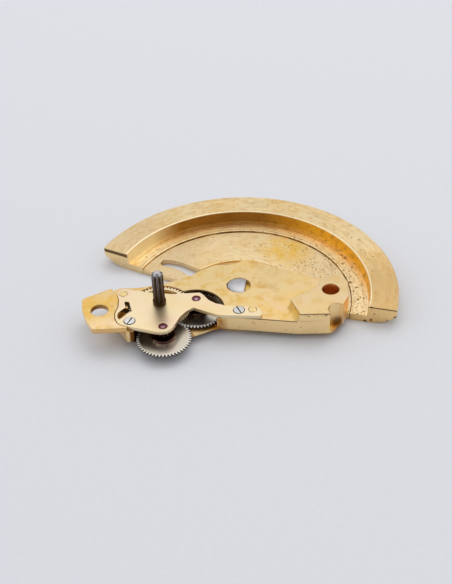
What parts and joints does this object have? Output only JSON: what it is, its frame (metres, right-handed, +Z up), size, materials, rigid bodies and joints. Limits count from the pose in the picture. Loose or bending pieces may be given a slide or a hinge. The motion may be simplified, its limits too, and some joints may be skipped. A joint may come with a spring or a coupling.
{
  "type": "automatic watch rotor with winding train",
  "caption": "Half-disc winding rotor on a ball bearing under a gilt frame that carries two meshed reversing wheels, a driving wheel, a train bridge and a tall pinion.",
  "frame": {"origin": "on the rotor axis, in the plane of the rotor's flat resting face", "axes": "+Z up from the resting face towards the tall pinion, +X from the screw ear on the left towards the screw foot on the right, +Y towards the rotor's rim"},
  "size_m": [0.0257, 0.0203, 0.0053],
  "materials": {
    "gilt_frame": "matte gold plating",
    "gilt_bridge": "fine grained pale gold plating",
    "gilt_rotor": "circular brushed gold plating",
    "polished_steel": "polished",
    "wheel_steel": "circular grained",
    "dark_steel": "hardened and tempered dark",
    "ruby": "polished synthetic ruby"
  },
  "bodies": {
    "frame": {"auto_frame": "gilt_frame", "train_bridge": "gilt_bridge", "bridge_screw_left": "polished_steel", "bridge_screw_right": "polished_steel", "steady_pin_left": "gilt_bridge", "steady_pin_right": "gilt_bridge", "rotor_axle": "polished_steel", "bearing_spacer": "wheel_steel", "bearing_inner_race": "wheel_steel", "bearing_screw": "polished_steel", "driving_jewel": "ruby", "jewel_a_upper": "ruby", "jewel_a_lower": "ruby", "jewel_b_upper": "ruby", "jewel_b_lower": "ruby"},
    "rotor": {"rotor_rim": "gilt_rotor", "rotor_plate": "gilt_rotor", "rotor_hub": "gilt_rotor", "rotor_gear": "gilt_bridge", "bearing_outer_race": "wheel_steel"},
    "ball_cage": {"bearing_cage": "gilt_bridge", "bearing_ball_1": "polished_steel", "bearing_ball_2": "polished_steel", "bearing_ball_3": "polished_steel", "bearing_ball_4": "polished_steel", "bearing_ball_5": "polished_steel"},
    "reverser_a": {"reverser_a_wheel": "wheel_steel", "reverser_a_click_1": "wheel_steel", "reverser_a_click_2": "wheel_steel", "reverser_a_ring": "wheel_steel", "reverser_a_cover": "dark_steel", "reverser_a_arbor": "wheel_steel"},
    "reverser_b_disc": {"reverser_b_wheel": "wheel_steel", "reverser_b_click_1": "wheel_steel", "reverser_b_click_2": "wheel_steel", "reverser_b_ring": "wheel_steel", "reverser_b_cover": "dark_steel"},
    "reverser_b_arbor": {"reverser_b_arbor": "wheel_steel"},
    "drive": {"driving_wheel": "gilt_bridge", "driving_pinion": "dark_steel"}
  },
  "joints": [
    {"name": "rotor_spin", "type": "hinge", "parent": "frame", "child": "rotor", "pos_m": [0, 0, 0.00044], "axis": [0, 0, 1], "continuous": true},
    {"name": "cage_spin", "type": "hinge", "parent": "frame", "child": "ball_cage", "pos_m": [0, 0, 0.00044], "axis": [0, 0, 1], "continuous": true},
    {"name": "reverser_a_spin", "type": "hinge", "parent": "frame", "child": "reverser_a", "pos_m": [-0.00349, -0.00187, 0.00089], "axis": [0, 0, 1], "continuous": true},
    {"name": "reverser_b_disc_spin", "type": "hinge", "parent": "frame", "child": "reverser_b_disc", "pos_m": [-0.00612, -0.00512, 0.00089], "axis": [0, 0, 1], "continuous": true},
    {"name": "reverser_b_arbor_spin", "type": "hinge", "parent": "frame", "child": "reverser_b_arbor", "pos_m": [-0.00612, -0.00512, 0.00105], "axis": [0, 0, 1], "continuous": true},
    {"name": "driving_spin", "type": "hinge", "parent": "frame", "child": "drive", "pos_m": [-0.00642, -0.00219, 0.00155], "axis": [0, 0, 1], "continuous": true}
  ],
  "couplings": [
    {"joint": "cage_spin", "follows": "rotor_spin", "ratio": 0.57287},
    {"joint": "reverser_a_spin", "follows": "rotor_spin", "ratio": -0.89583},
    {"joint": "reverser_b_disc_spin", "follows": "rotor_spin", "ratio": 0.89583},
    {"joint": "reverser_b_arbor_spin", "follows": "rotor_spin", "ratio": -0.89583},
    {"joint": "driving_spin", "follows": "rotor_spin", "ratio": 0.19907}
  ]
}
